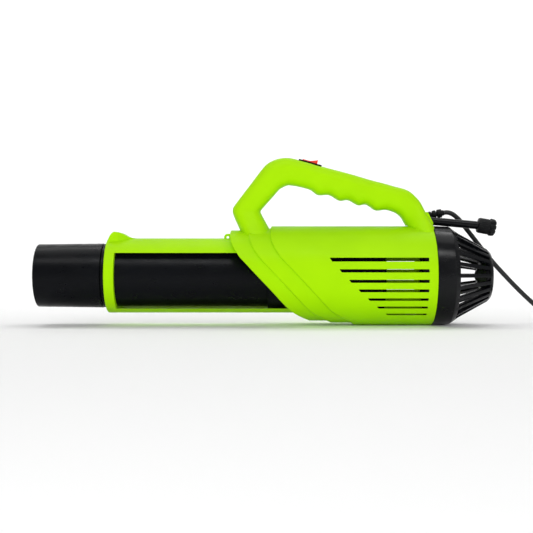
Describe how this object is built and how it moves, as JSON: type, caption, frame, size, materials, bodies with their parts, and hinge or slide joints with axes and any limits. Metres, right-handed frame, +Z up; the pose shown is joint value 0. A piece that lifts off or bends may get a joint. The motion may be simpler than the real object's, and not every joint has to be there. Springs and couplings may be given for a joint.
{
  "type": "hand-held air blower",
  "caption": "Hand-held electric air blower with a straight duct, loop handle, slotted body, conical intake cage, liquid inlet and low-voltage lead.",
  "frame": {"origin": "middle of the base: below the middle of the blower's length and width, on the ground under the intake ring", "axes": "+X along the duct from the outlet to the intake, +Z up through the handle, +Y to the side the screws go in"},
  "size_m": [0.7163, 0.1436, 0.2049],
  "materials": {
    "green_plastic": "moulded, satin",
    "black_plastic": "moulded, glossy",
    "matte_black_plastic": "moulded, matte",
    "red_plastic": "moulded, satin",
    "white_plastic": "extruded tube",
    "rubber": "smooth",
    "steel": "zinc plated",
    "brass": "turned"
  },
  "bodies": {
    "housing": {"body_left": "green_plastic", "body_right": "green_plastic", "frame_left": "green_plastic", "frame_right": "green_plastic", "handle_left": "green_plastic", "handle_right": "green_plastic", "duct_tube": "black_plastic", "nozzle_sleeve": "black_plastic", "duct_seal": "rubber", "spray_head": "matte_black_plastic", "spray_tip": "brass", "feed_tube": "white_plastic", "motor_wire": "red_plastic", "supply_wire": "matte_black_plastic", "fan_casing": "black_plastic", "stator": "matte_black_plastic", "motor_can": "steel", "motor_end_cap": "matte_black_plastic", "motor_screw_left": "steel", "motor_screw_right": "steel", "intake_guard": "black_plastic", "hose_pipe": "black_plastic", "hose_gasket": "rubber", "cable_gland": "matte_black_plastic", "frame_screw_1": "steel", "body_screw_1": "steel", "body_screw_2": "steel", "handle_screw_1": "steel", "handle_screw_2": "steel", "handle_screw_3": "steel", "switch_body": "black_plastic", "switch_terminal_1": "brass", "switch_terminal_2": "brass", "cord_run": "rubber", "cord_tail": "rubber", "cord_coil": "rubber", "cord_tie": "matte_black_plastic", "plug_body": "matte_black_plastic", "plug_tip": "steel"},
    "rotor": {"impeller": "matte_black_plastic", "spinner": "black_plastic", "motor_shaft": "steel"},
    "rocker": {"switch_rocker": "red_plastic"},
    "nut": {"hose_nut": "black_plastic"}
  },
  "joints": [
    {"name": "fan_spin", "type": "hinge", "parent": "housing", "child": "rotor", "pos_m": [0.12, 0, 0.06084], "axis": [1, 0, 0], "continuous": true},
    {"name": "rocker_tilt", "type": "hinge", "parent": "housing", "child": "rocker", "pos_m": [0.052, 0, 0.19884], "axis": [0, 1, 0], "range_deg": [0, 22]},
    {"name": "hose_nut_turn", "type": "hinge", "parent": "housing", "child": "nut", "pos_m": [0.2638, -0.005, 0.12144], "axis": [0.9848, 0, -0.1736], "continuous": true}
  ]
}
